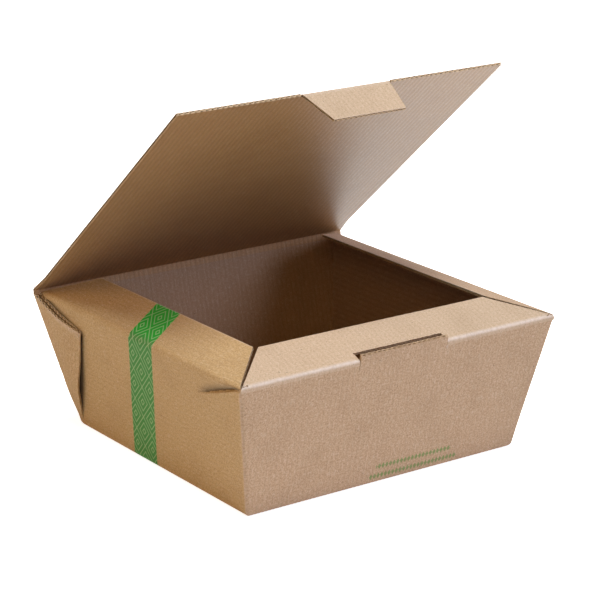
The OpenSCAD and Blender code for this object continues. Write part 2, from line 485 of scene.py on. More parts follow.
def add_board(
    mesh: PanelMesh, grid: BoardGrid, place: Placer, fluted: bool = True, trim: float = 0.0
) -> None:
    """Adds corrugated board over a grid.

    Args:
        mesh: What gathers the sheets.
        grid: The panel's grid.
        place: Gives a point from distance across the crease, along it and off mid board.
        fluted: True for liners and fluted sheet, False for one solid board whose edges are out of sight.
        trim: How far the outer liner is torn back from the last row, so that the flutes show behind it.
    """
    wave = BOARD.ripple(grid.across())
    clean = np.zeros_like(grid.s)
    depth = clean if grid.depth is None else grid.depth
    wear_and_shade = clean if grid.wear_and_shade is None else grid.wear_and_shade
    outer = HALF_T - BOARD.dip_outside * (1 - wave) / 2 - depth
    inner = -HALF_T + BOARD.dip_inside * (1 + wave) / 2
    blank = grid.blank()

    def sheet(s: Array, high: Array, low: Array, rub: Array, skins: tuple[Skin, Skin]) -> None:
        """Adds one sheet between two distances off mid board."""
        mesh.add_sheet(place(s, grid.c, high), place(s, grid.c, low), blank, rub, grid.keep, skins)

    if not fluted:
        sheet(grid.s, outer, np.minimum(inner, outer), wear_and_shade, (Skin.OUTSIDE, Skin.INSIDE))
        return
    # The fluted sheet swings from liner to liner, and stays between them where it is crushed
    limit = HALF_T - BOARD.paper
    middle = (limit - BOARD.paper / 2) * wave
    swell = BOARD.paper / 2 + (0.0 if grid.crush is None else grid.crush)
    high, low = np.minimum(middle + swell, limit), np.maximum(middle - swell, -limit)
    torn = np.minimum(grid.s, grid.s.max() - trim)
    sheet(torn, outer, limit - depth, wear_and_shade, (Skin.OUTSIDE, Skin.FLUTING))
    sheet(grid.s, high, low, clean, (Skin.FLUTING, Skin.FLUTING))
    sheet(grid.s, np.full_like(inner, -limit), inner, clean, (Skin.FLUTING, Skin.INSIDE))


class WallProfile:
    """Outline of one wall from the base, through the round base fold, up to the rim crease."""

    def __init__(self, half_rim: float, flare: float, lean: float) -> None:
        """Works out the fold at the base.

        Args:
            half_rim: Half the size at the rim across this pair of walls.
            flare: How far the wall leans out over its height.
            lean: The same as an angle, in radians.
        """
        self.half_base = half_rim - flare
        self.lean = lean
        hinge = self.half_base + HALF_T * math.tan(lean) - HALF_T / math.cos(lean)
        self.fold = Fold((hinge, HALF_T), 0.0, math.pi / 2 - lean, SIZES.base_fold_r - HALF_T)
        self.crease = (SIZES.tray_h - 2 * HALF_T) / math.cos(lean)
        self.flat = hinge - self.fold.reach

    def outer_at(self, z: Array) -> Array:
        """Distance outwards of the outer face at a height.

        Args:
            z: Height above the table.

        Returns:
            The distance from the middle of the base.
        """
        r = SIZES.base_fold_r
        low = self.flat + np.sqrt(np.maximum(r**2 - (r - np.minimum(z, r)) ** 2, 0))
        return np.where(z < r * (1 - math.sin(self.lean)), low, self.half_base + z * math.tan(self.lean))

    def inner_at(self, z: Array) -> Array:
        """Distance outwards of the inner face at a height, never inside the flat of the base."""
        return np.maximum(self.outer_at(z) - BOARD.thickness / math.cos(self.lean), self.flat)


SIDE = WallProfile(SIZES.rim_w / 2, SIZES.side_flare, SIZES.side_lean)
FRONT = WallProfile(SIZES.rim_d / 2, SIZES.front_flare, SIZES.front_lean)


def rounded_ends(places: Array, half: Array, radius: Array, steps: int = 5) -> tuple[Array, Array]:
    """Clamps columns to a panel's ends and rounds its outer edges there.

    Args:
        places: Columns along the crease, from one end to the other.
        half: Half the panel's length at each row.
        radius: Radius of the rounded edge at each row.
        steps: Columns over each rounded edge.

    Returns:
        The columns at each row and how deep each lies below the outer face.
    """
    flat = half - radius
    middle = np.clip(places[None, :], -flat[:, None], flat[:, None])
    angles = np.linspace(0, math.pi / 2, steps + 1)[1:]
    bend = flat[:, None] + radius[:, None] * np.sin(angles)
    drop = radius[:, None] * (1 - np.cos(angles))
    c = np.concatenate([-bend[:, ::-1], middle, bend], axis=1)
    depth = np.concatenate([drop[:, ::-1], np.zeros_like(middle), drop], axis=1)
    return c, depth


@dataclass(frozen=True)
class Dent:
    """Side wall buckled in over the web's edge behind a front corner, with painted shade in its hollow, in
    millimetres.
    """

    reach: float = 39.0
    drop: float = 13.0
    top: float = 46.0
    depth: float = 2.2
    depth_curve: float = 2.2
    lip: float = 0.6
    least_drop: float = 0.5
    start_run: float = 7.0
    fade_from: float = 0.55
    shade: float = 0.8
    shade_curve: float = 1.5
    shade_reach: float = 6.0
    shade_start: float = 5.0
    shade_end: float = 10.0

    def lip_line(self, back: Array) -> Array:
        """Distance of the dent's lip below the crease."""
        return self.drop * np.clip(back / self.reach, 0, self.top / self.reach)

    def depth_at(self, back: Array, down: Array) -> Array:
        """Depth of the hollow.

        Args:
            back: Distance back from the front corner along the crease.
            down: Distance below the crease.

        Returns:
            The depth at each place.
        """
        lip_line = self.lip_line(back)
        share = np.clip(down / np.maximum(lip_line, self.least_drop), 0, 1)
        ease = np.clip((lip_line + self.lip - down) / self.lip, 0, 1)
        start = np.clip(back / self.start_run, 0, 1)
        fade = np.clip((self.top - back) / (self.top - self.fade_from * self.reach), 0, 1)
        strength = start * (3 - 2 * start) * start * fade * fade * (3 - 2 * fade)
        hollow = np.where(down <= lip_line, share**self.depth_curve, ease)
        return self.depth * strength * hollow * (back > 0) * (back < self.top) * (down >= 0)

    def painted_shade_at(self, back: Array, down: Array) -> Array:
        """How much painted shade lies in the hollow, from 0 to 1: darkest along the lip, nothing below it.

        Args:
            back: Distance back from the front corner along the crease.
            down: Distance below the crease.

        Returns:
            The shade at each place.
        """
        lip_line = self.lip_line(back)
        near = np.clip(1 - (lip_line - down) / self.shade_reach, 0, 1) * (down <= lip_line)
        ends = np.clip(back / self.shade_start, 0, 1) * np.clip((self.top - back) / self.shade_end, 0, 1)
        return self.shade * near**self.shade_curve * ends


DENT = Dent()


@dataclass(frozen=True)
class WebShade:
    """Painted shadow in the narrow gap under a rear web's folded edge, in millimetres."""

    strength: float = 0.88
    core: float = 1.25
    curve: float = 1.3
    reach: float = 5.2
    least_reach: float = 1.3
    middle: float = 32.0
    spread: float = 26.0
    start: float = 4.0
    start_run: float = 6.0
    end_gap: float = 1.0
    end_run: float = 4.0

    def painted_shade_at(self, c: Array, s: Array) -> Array:
        """How much painted shadow lies on the wall beside the web, from 0 to 1.

        Args:
            c: Distance along the wall, above zero towards the back.
            s: Distance up the wall from its base fold.

        Returns:
            The shade at each place.
        """
        lean, angle = SIZES.side_edge_lean, SIZES.web_angle
        along = c - FRONT.half_base
        x = along * math.cos(lean) - s * math.sin(lean)
        y = along * math.sin(lean) + s * math.cos(lean)
        past = -(x * math.cos(angle) + y * math.sin(angle))
        q = y * math.cos(angle) - x * math.sin(angle)
        swell = np.exp(-(((q - self.middle) / self.spread) ** 2))
        wide = self.least_reach + (self.reach - self.least_reach) * swell
        ends = np.clip((q - self.start) / self.start_run, 0, 1)
        ends = ends * np.clip((SIZES.web_l - self.end_gap - q) / self.end_run, 0, 1)
        return self.strength * ends * np.clip(self.core * (1 - past / wide), 0, 1) ** self.curve


WEB_SHADE = WebShade()

# Bulges and wrinkles of the walls: height and length in millimetres, and what makes the sides differ
WALL_BULGE = 0.22
WALL_WAVE = 24.0
WALL_SEED = 0.7


def wall_unevenness(facing: Facing, c: Array, up: Array) -> Array:
    """How far a wall bulges or wrinkles off its plane, nothing at the crease and the base.

    Args:
        facing: Side that the wall is on.
        c: Distance along the wall.
        up: Distance up the wall.

    Returns:
        The distance off the plane at each place.
    """
    hold = np.sin(math.pi * np.clip(up / FRONT.crease, 0, 1))
    seed = WALL_SEED * list(Facing).index(facing)
    return hold * WALL_BULGE * pseudo_noise(c / WALL_WAVE, up / WALL_WAVE, seed)


def turned(first: Array, second: Array, angle: float) -> tuple[Array, Array]:
    """Turns two coordinates by an angle in radians, from the first towards the second."""
    cos, sin = math.cos(angle), math.sin(angle)
    return first * cos - second * sin, first * sin + second * cos


@dataclass(frozen=True)
class WebForm:
    """How a folded web is worn and pressed, in millimetres along its folded edge and in from it."""

    sag: float = 2.2
    least_high: float = 0.05
    scuff: float = 0.35
    scuff_w: float = 1.0
    pressed: float = 0.2
    pressed_w: float = 0.1
    crush: float = 0.45
    crush_run: float = 18.0
    crush_from: float = 40.0
    crush_ease: float = 30.0
    least_crush: float = 0.5
    overhang: float = 2.8
    bulge: float = 2.6
    bulge_middle: float = 30.0
    bulge_spread: float = 17.0
    bulge_run: float = 16.0
    crumple: float = 0.5
    crumple_from: float = 66.0
    crumple_ease: float = 6.0
    crumple_run: float = 14.0
    crinkles: tuple[float, float, float] = (1.4, 0.7, 0.8)
    crinkle_seed: float = 0.3
    bed: float = 0.3
    squeeze: float = 1.0

    def shape_edge(self, p: Array, q: Array, z: Array, run: Array, s: Array) -> tuple[Array, Array]:
        """Presses, bulges and crumples a web near its folded edge.

        Args:
            p: Distance in from the folded edge.
            q: Distance along that edge from the base corner.
            z: Height over the wall.
            run: Distance in from the round bend.
            s: Distance along the board, across the bend.

        Returns:
            The new distance from the edge and the new height.
        """
        near = np.clip(1 - run / self.crush_run, 0, 1)
        press = np.clip((q - self.crush_from) / self.crush_ease, 0, 1)
        p = p - self.overhang * np.clip(z / SIZES.web_t, 0, 1) ** 2 * near**2
        z = z * (1 - self.crush * near * np.maximum(press, self.least_crush))
        swell = np.exp(-(((q - self.bulge_middle) / self.bulge_spread) ** 2))
        z = z + self.bulge * swell * np.clip(1 - run / self.bulge_run, 0, 1)
        torn = np.clip(1 - run / self.crumple_run, 0, 1)
        torn = torn * np.clip((q - self.crumple_from) / self.crumple_ease, 0, 1)
        by_run, by_s, by_q = self.crinkles
        z = z + self.crumple * torn * pseudo_noise(run * by_run, s * by_s + q * by_q, self.crinkle_seed)
        return p, z

    def bed_down(self, z: Array) -> Array:
        """Presses the lower layer flat before it can show through the wall's inner face."""
        deep = np.minimum(z + self.bed, 0) / self.squeeze
        return np.maximum(z, -self.bed) + self.squeeze * (np.exp(deep) - 1)


@dataclass(frozen=True)
class TrayGrid:
    """How finely the tray's panels are drawn, by the rows and columns of their grids."""

    fold_steps: int = 6
    wall_steps: int = 9
    wall_samples: int = 6
    dent_columns: int = 33
    middle_columns: int = 14
    web_columns: int = 73
    base_samples: int = 4
    base_rows: int = 9
    tongue_rows: int = 6
    bend_rows: int = 13
    web_rows: int = 13


@dataclass
class Tray:
    """The still part of the folded sheet: base, four walls, the tongue and the corner webs."""

    finishes: dict[str, Sequence[bpy.types.Material]]
    steps: TrayGrid = TrayGrid()
    form: WebForm = WebForm()
    cut_line: float = SIZES.crease_reach
    edge_r: float = BOARD.thickness
    edge_r_low: float = 0.4
    edge_r_rise: float = 0.3
    edge_scuff: float = 0.25
    cut_scuff: float = 0.7
    cut_scuff_w: float = 0.6
    cut_scuff_from: float = 0.1
    end_inset: float = 0.1
    end_scuff: float = 0.2
    end_scuff_w: float = 1.2
    web_side: float = 0.66
    torn: float = 0.6
    base_lap: float = 1.2
    lap_share: float = 0.35

    def wall_place(self, facing: Facing, profile: WallProfile) -> Placer:
        """Gives the function that places a wall's points.

        Args:
            facing: Which side the wall is on.
            profile: Its outline from the base to the rim.

        Returns:
            The placing function.
        """
        front_corner = SIZES.rim_d / 2

        def place(s: Array, c: Array, off: Array) -> Array:
            """Places points of the wall, with its unevenness and the dents of a side wall.

            Args:
                s: Distance up the wall from its base fold.
                c: Distance along the wall.
                off: Distance off mid board.

            Returns:
                The points.
            """
            shift = wall_unevenness(facing, c, s)
            if facing in (Facing.LEFT, Facing.RIGHT):
                shift = shift - DENT.depth_at(c + front_corner, profile.crease - s)
            out, up = profile.fold.at(s, off + shift)
            return facing.place(out, c, up)

        return place

    def end_wall(self, facing: Facing, name: str) -> bpy.types.Object:
        """Builds the front or the back wall, whose upright edges wrap round the side walls.

        Args:
            facing: FRONT or BACK.
            name: Name of the piece.

        Returns:
            The new piece.
        """
        fold = FRONT.fold
        is_front = facing is Facing.FRONT
        top = FRONT.crease - self.cut_line
        cut_end = FRONT.crease - SIZES.end_cut
        upright = np.linspace(fold.reach, cut_end, self.steps.wall_steps + 1)[1:]
        rows = np.concatenate([fold.rows(self.steps.fold_steps), upright, [top]])
        cut = (SIZES.slot_w / 2 - SIZES.fold_gap, SIZES.slot_w / 2)
        extra = (*cut, -cut[0], -cut[1]) if is_front else ()
        places = BOARD.columns(-SIZES.rim_w / 2, SIZES.rim_w / 2, self.steps.wall_samples, extra)
        _, height = fold.at(rows, np.full_like(rows, HALF_T))
        half = SIDE.outer_at(height)
        if not is_front:
            half = half + SIZES.wrap * np.clip(height / SIZES.tray_h, 0, 1)
        radius = np.minimum(self.edge_r, self.edge_r_low + self.edge_r_rise * height)
        c, depth = rounded_ends(places, half, radius)
        s = np.repeat(rows[:, None], c.shape[1], axis=1)
        wear_and_shade = self.edge_scuff * np.clip(depth / self.edge_r * 2, 0, 1)
        keep = None
        if is_front:
            mid_s, mid_c = (s[1:, 1:] + s[:-1, 1:]) / 2, np.abs(c[1:, 1:] + c[1:, :-1]) / 2
            keep = ~((mid_c > cut[0]) & (mid_c < cut[1]) & (mid_s > cut_end))
            scuff = self.cut_scuff * np.exp(-(((c - cut[1]) / self.cut_scuff_w) ** 2))
            wear_and_shade = np.maximum(wear_and_shade, scuff * (s > cut_end + self.cut_scuff_from))
        grid = BoardGrid(s, c, True, depth=depth, keep=keep, wear_and_shade=wear_and_shade)
        mesh = PanelMesh()
        add_board(mesh, grid, self.wall_place(facing, FRONT), fluted=False)
        return mesh.build(name, self.finishes["front" if is_front else "plain"])

    def side_wall(self, facing: Facing, name: str) -> bpy.types.Object:
        """Builds the left or the right wall, between the front and the back wall.

        Args:
            facing: LEFT or RIGHT.
            name: Name of the piece.

        Returns:
            The new piece.
        """
        fold = SIDE.fold
        top = SIDE.crease - self.cut_line
        rows = np.concatenate([fold.rows(self.steps.fold_steps)[:-1], BOARD.columns(fold.reach, top)])
        _, height = fold.at(rows, np.full_like(rows, HALF_T))
        _, inner_height = fold.at(rows, np.full_like(rows, -HALF_T))
        room = np.maximum(FRONT.outer_at(height) - self.end_inset, FRONT.flat)
        end = np.minimum(np.maximum(FRONT.inner_at(height), FRONT.inner_at(inner_height)), room)
        at_dent = np.linspace(0, DENT.top, self.steps.dent_columns)[:-1]
        between = np.linspace(DENT.top, self.web_side * SIZES.rim_d, self.steps.middle_columns)[:-1]
        at_web = np.linspace(self.web_side, 1, self.steps.web_columns) * SIZES.rim_d
        share = np.concatenate([at_dent, between, at_web]) / SIZES.rim_d
        c = -end[:, None] + 2 * end[:, None] * share[None, :]
        s = np.repeat(rows[:, None], c.shape[1], axis=1)
        near_end = np.abs(c) - end[:, None] + self.end_scuff_w
        wear_and_shade = self.end_scuff * np.clip(near_end, 0, 1)
        # The dent's hollow near the front is darkened with painted shade, carried as wear below zero
        wear_and_shade = wear_and_shade - DENT.painted_shade_at(c + SIZES.rim_d / 2, SIDE.crease - s)
        # On the back half the wear is only the painted shadow beside the rear web's fold
        wear_and_shade = np.where(c > 0, -WEB_SHADE.painted_shade_at(c, s), wear_and_shade)
        grid = BoardGrid(s, c, False, wear_and_shade=wear_and_shade)
        mesh = PanelMesh()
        add_board(mesh, grid, self.wall_place(facing, SIDE), fluted=False)
        return mesh.build(name, self.finishes["printed" if facing is Facing.LEFT else "plain"])

    def base(self) -> bpy.types.Object:
        """Builds the flat base between its four folds.

        Returns:
            The new piece.
        """
        wide_end, deep_end = SIDE.flat + self.base_lap, FRONT.flat + self.base_lap
        columns = BOARD.columns(-SIDE.flat, SIDE.flat, self.steps.base_samples)
        rows = np.linspace(-FRONT.flat, FRONT.flat, self.steps.base_rows)
        x = np.concatenate([[-wide_end], columns, [wide_end]])
        y = np.concatenate([[-deep_end], rows, [deep_end]])
        c, s = np.meshgrid(x, y)

        def place(along: Array, wide: Array, off: Array) -> Array:
            """Places points of the base, with its lap into the folds."""
            # The lap is thinner, so that it closes the corners from inside the folds
            lap = (np.abs(wide) == wide_end) | (np.abs(along) == deep_end)
            return np.stack([wide, along, HALF_T - off * np.where(lap, self.lap_share, 1.0)], axis=-1)

        mesh = PanelMesh()
        add_board(mesh, BoardGrid(s, c, True), place, fluted=False)
        return mesh.build("tray_base", self.finishes["plain"])

    def tongue(self) -> bpy.types.Object:
        """Builds the tongue that stands up over the slot, with its flutes open along the top.

        Returns:
            The new piece.
        """
        half = SIZES.slot_w / 2 - SIZES.fold_gap
        top = (SIZES.tongue_top - HALF_T) / math.cos(SIZES.front_lean)
        rows = np.linspace(FRONT.crease - self.cut_line, top, self.steps.tongue_rows)
        places = BOARD.columns(-half, half)
        s, c = np.meshgrid(rows, places, indexing="ij")
        mesh = PanelMesh()
        add_board(mesh, BoardGrid(s, c, True), self.wall_place(Facing.FRONT, FRONT), trim=self.torn)
        return mesh.build("tray_tongue", self.finishes["tongue"])

    def web_grid(self) -> BoardGrid:
        """Lays the grid over a folded web: one layer, the round bend along the diagonal, the other layer.

        Returns:
            The grid, with c as the distance along the diagonal crease.
        """
        form = self.form
        angle = SIZES.web_angle
        wide = SIZES.web_edge * math.sin(angle)
        bend = math.pi * (BOARD.thickness + SIZES.layer_gap) / 2
        bead = SIZES.web_t / 2
        lay = BOARD.columns(0, wide - bead, self.steps.wall_samples)
        rows = np.concatenate([-lay[::-1], np.linspace(0, bend, self.steps.bend_rows)[1:-1], bend + lay])
        off_fold = np.maximum(np.abs(rows - bend / 2) - bend / 2, 0) + bead
        low = np.maximum(off_fold / math.tan(angle), SIZES.web_start / math.cos(angle))
        high = SIZES.web_l + (SIZES.web_edge * math.cos(angle) - SIZES.web_l) * off_fold / wide
        high = np.maximum(high - form.sag * np.sin(math.pi * off_fold / wide), low + form.least_high)
        share = np.linspace(0, 1, self.steps.web_rows)
        q = low[:, None] + (high - low)[:, None] * share[None, :]
        s = np.repeat(rows[:, None], q.shape[1], axis=1)
        wear_and_shade = form.scuff * np.clip(q - high[:, None] + form.scuff_w, 0, 1)
        crush = form.pressed * (q > high[:, None] - form.pressed_w)
        return BoardGrid(s, q, False, wear_and_shade=wear_and_shade, crush=crush)

    def web_place(self, side: float, rear: bool) -> Placer:
        """Gives the function that places a web's points.

        Args:
            side: -1 for the left side wall, 1 for the right one.
            rear: True for a rear web, outside its wall, False for a front web, inside it.

        Returns:
            The placing function.
        """
        form = self.form
        angle, edge_lean, lean = SIZES.web_angle, SIZES.side_edge_lean, SIZES.side_lean
        bead = SIZES.web_t / 2
        mid_r = (BOARD.thickness + SIZES.layer_gap) / 2
        bend = math.pi * mid_r
        spread = math.radians(SIZES.web_spread)
        rise = math.asin(SIZES.web_sink / SIZES.web_edge)

        def place(s: Array, q: Array, off: Array) -> Array:
            """Places points of the web, first against its wall and then in the leaning box.

            Args:
                s: Distance across the diagonal crease, along the board.
                q: Distance along that crease.
                off: Distance off mid board.

            Returns:
                The points.
            """
            turn = np.clip(s / bend, 0, 1) * math.pi
            run = np.maximum(-s, 0) + np.maximum(s - bend, 0)
            p = run + bead - (mid_r + off) * np.sin(turn)
            z = bead + (mid_r + off) * np.cos(turn)
            if rear:
                p, z = form.shape_edge(p, q, z, run, s)
            x = p * math.cos(angle) - q * math.sin(angle)
            y = q * math.cos(angle) + p * math.sin(angle)
            if rear:
                x, z = turned(x, z, -spread)
                y, z = turned(y, z, rise)
                z = form.bed_down(z - SIZES.web_sink)
            else:
                z = z - BOARD.thickness - SIZES.web_t
            along = FRONT.half_base + x * math.cos(edge_lean) + y * math.sin(edge_lean)
            up = y * math.cos(edge_lean) - x * math.sin(edge_lean)
            if not rear:
                z = z - DENT.depth_at(SIZES.rim_d / 2 - along, SIDE.crease - up)
            world_x = SIDE.half_base + up * math.sin(lean) + z * math.cos(lean)
            world_z = up * math.cos(lean) - z * math.sin(lean)
            if not rear:
                inside = FRONT.outer_at(world_z) - HALF_T / math.cos(FRONT.lean)
                along = -np.minimum(along, inside)
            return np.stack([side * world_x, along, world_z], axis=-1)

        return place

    def web(self, side: float, rear: bool, name: str) -> bpy.types.Object:
        """Builds one folded corner web: two layers joined by a round bend along the diagonal.

        Args:
            side: -1 for the left side wall, 1 for the right one.
            rear: True for a rear web, outside its wall, False for a front web, inside it.
            name: Name of the piece.

        Returns:
            The new piece.
        """
        mesh = PanelMesh()
        add_board(mesh, self.web_grid(), self.web_place(side, rear))
        return mesh.build(name, self.finishes["web" if side < 0 else "plain"])

    def build(self) -> list[bpy.types.Object]:
        """Builds every piece of the tray and rides it on the tray's body.

        Returns:
            The pieces.
        """
        pieces = [
            self.end_wall(Facing.FRONT, "tray_front_wall"),
            self.end_wall(Facing.BACK, "tray_back_wall"),
            self.side_wall(Facing.LEFT, "tray_left_wall"),
            self.side_wall(Facing.RIGHT, "tray_right_wall"),
            self.base(),
            self.tongue(),
        ]
        for side, word in ((-1.0, "left"), (1.0, "right")):
            pieces.append(self.web(side, True, f"tray_rear_web_{word}"))
            pieces.append(self.web(side, False, f"tray_front_web_{word}"))
        for piece in pieces:
            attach(piece, "tray")
            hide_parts("tray")
        return pieces


def middles(places: Array) -> Array:
    """Middle of each gap between neighbouring places."""
    return (places[1:] + places[:-1]) / 2


def notch_cells(rows: Array, places: Array, half: float) -> Array:
    """Finds the cells of a grid that a notch in the panel's middle takes away.

    Args:
        rows: Whether each row of cells lies in the notch.
        places: Columns along the crease.
        half: Half the notch's width.

    Returns:
        True for each cell in the notch, rows by columns.
    """
    return rows[:, None] & (np.abs(middles(places)) < half)[None, :]


# The fold's ends are taken a little past its own round, as a share of its reach
BLEND_REACH = 1.3


def blend_over(piece: bpy.types.Object, fold: Fold, facing: Facing) -> None:
    """Works out where a piece's fold ends and bakes the piece's place into its mesh.

    Args:
        piece: The piece, with its mesh final.
        fold: The fold that it crosses.
        facing: Which side the fold is on.
    """
    ends = np.array([-fold.reach * BLEND_REACH, fold.reach * BLEND_REACH])
    out, up = fold.at(ends, np.zeros(2))
    start, end = facing.place(out, np.zeros(2), up) * MM
    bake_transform(piece)


@dataclass
class RimFlap:
    """One of the three flaps creased along the rim, with the top of its wall."""

    facing: Facing
    body: str
    finishes: Sequence[bpy.types.Material]
    crease_wear: float
    crease_wear_at: float = 0.2
    crease_wear_w: float = 0.8
    bend_r: float = SIZES.crease_r
    mitre_close: float = 0.22
    mitre_shut: float = 0.0
    edge_wear: float = 0.5
    edge_wear_w: float = 0.7
    square_below: float = 1.0
    square_run: float = 1.5
    waviness: float = 0.2
    waves: tuple[float, float] = (30.0, 18.0)
    wave_seed: float = 0.4
    front_rows: tuple[float, ...] = (2.2, 4.0, SIZES.slot_reach, 9.0, 13.0, 17.0, 21.0, 25.0, SIZES.flap_w)
    front_samples: int = 6
    side_columns: int = 61

    @property
    def profile(self) -> WallProfile:
        """The wall that carries the flap."""
        return FRONT if self.facing is Facing.FRONT else SIDE

    @property
    def fold(self) -> Fold:
        """The fold at the rim crease.

        Returns:
            The fold in the plane across the crease.
        """
        point = joint_point(self.body.replace("rim_flap", "flap_fold"))
        out = abs(point[1]) if self.facing is Facing.FRONT else abs(point[0])
        lean = self.profile.lean
        tilt = math.radians(SIZES.flap_tilt)
        return Fold((float(out), float(point[2])), math.pi / 2 - lean, math.pi - tilt, self.bend_r)

    def ends(self, s: Array, top_z: Array) -> tuple[Array, Array]:
        """Works out the flap's two ends, which meet the next flap at a mitre.

        Args:
            s: Distance from the crease at each row.
            top_z: Height of the outer face there, used below the crease.

        Returns:
            The first and the last place along the crease at each row.
        """
        free = np.clip(s / SIZES.flap_w, 0, 1)
        step = (SIZES.mitre_gap / 2 - self.mitre_close * free - self.mitre_shut) / math.cos(math.pi / 4)
        flat = np.clip((s + self.square_below) / self.square_run, 0, 1)
        if self.facing is Facing.FRONT:
            wall = SIDE.outer_at(top_z)
            half = abs(float(joint_point("right_flap_fold")[0])) - step - np.maximum(s, 0)
            half = wall * (1 - flat) + half * flat
            return -half, half
        wall = FRONT.inner_at(top_z)
        front = -abs(float(joint_point("front_flap_fold")[1])) + step + np.maximum(s, 0)
        rear = SIZES.rim_d / 2 - SIZES.rear_gap - SIZES.rear_cut * np.maximum(s, 0) / SIZES.flap_w
        return -wall * (1 - flat) + front * flat, wall * (1 - flat) + rear * flat

    def grid(self) -> BoardGrid:
        """Lays the grid over the flap and the top of its wall.

        Returns:
            The grid, with the slot left out.
        """
        fold = self.fold
        is_front = self.facing is Facing.FRONT
        below, above, shift = -SIZES.crease_reach, SIZES.flap_w, self.profile.crease
        if is_front:
            after = self.front_rows
        else:
            after = BOARD.columns(fold.reach + shift, above + shift)[1:] - shift
        rows = np.concatenate([[below, (below - fold.reach) / 2], fold.rows(), after])
        _, top_z = fold.at(np.minimum(rows, 0), np.full_like(rows, HALF_T))
        low, high = self.ends(rows, top_z)
        keep = None
        if is_front:
            half_slot, corner = SIZES.slot_w / 2, SIZES.rim_w / 2
            places = BOARD.columns(-corner, corner, self.front_samples, (-half_slot, half_slot))
            c = np.clip(places[None, :], low[:, None], high[:, None])
            keep = ~notch_cells(middles(rows) < SIZES.slot_reach, places, half_slot)
        else:
            share = np.linspace(0, 1, self.side_columns)
            c = low[:, None] + (high - low)[:, None] * share[None, :]
        s = np.repeat(rows[:, None], c.shape[1], axis=1)
        crease = np.exp(-(((s - self.crease_wear_at) / self.crease_wear_w) ** 2)) * self.crease_wear
        edge = self.edge_wear * np.clip((s - above + self.edge_wear_w) / self.edge_wear_w, 0, 1)
        wear_and_shade = np.clip(crease + edge, 0, 1)
        # Below the crease, the dent's hollow is darkened with painted shade
        if not is_front:
            wear_and_shade = wear_and_shade - DENT.painted_shade_at(c + SIZES.rim_d / 2, -s) * (s < 0)
        return BoardGrid(s, c, is_front, keep=keep, wear_and_shade=wear_and_shade, blank_shift=shift)

    def place(self, s: Array, c: Array, off: Array) -> Array:
        """Places points of the flap, with the slight unevenness of real board.

        Args:
            s: Distance from the crease.
            c: Distance along the crease.
            off: Distance off mid board.

        Returns:
            The points.
        """
        free = np.clip(s / SIZES.flap_w, 0, 1)
        seed = self.wave_seed + list(Facing).index(self.facing)
        shift = self.waviness * free * pseudo_noise(c / self.waves[0], s / self.waves[1], seed)
        if self.facing is not Facing.FRONT:
            shift = shift - DENT.depth_at(c + SIZES.rim_d / 2, -s)
        out, up = self.fold.at(s, off + shift)
        return self.facing.place(out, c, up)

    def build(self) -> bpy.types.Object:
        """Builds the flap, which stands for the CAD flap.

        Returns:
            The new piece.
        """
        mesh = PanelMesh()
        add_board(mesh, self.grid(), self.place)
        piece = mesh.build(f"{self.body}_board", self.finishes)
        blend_over(piece, self.fold, self.facing)
        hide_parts(self.body)
        return piece


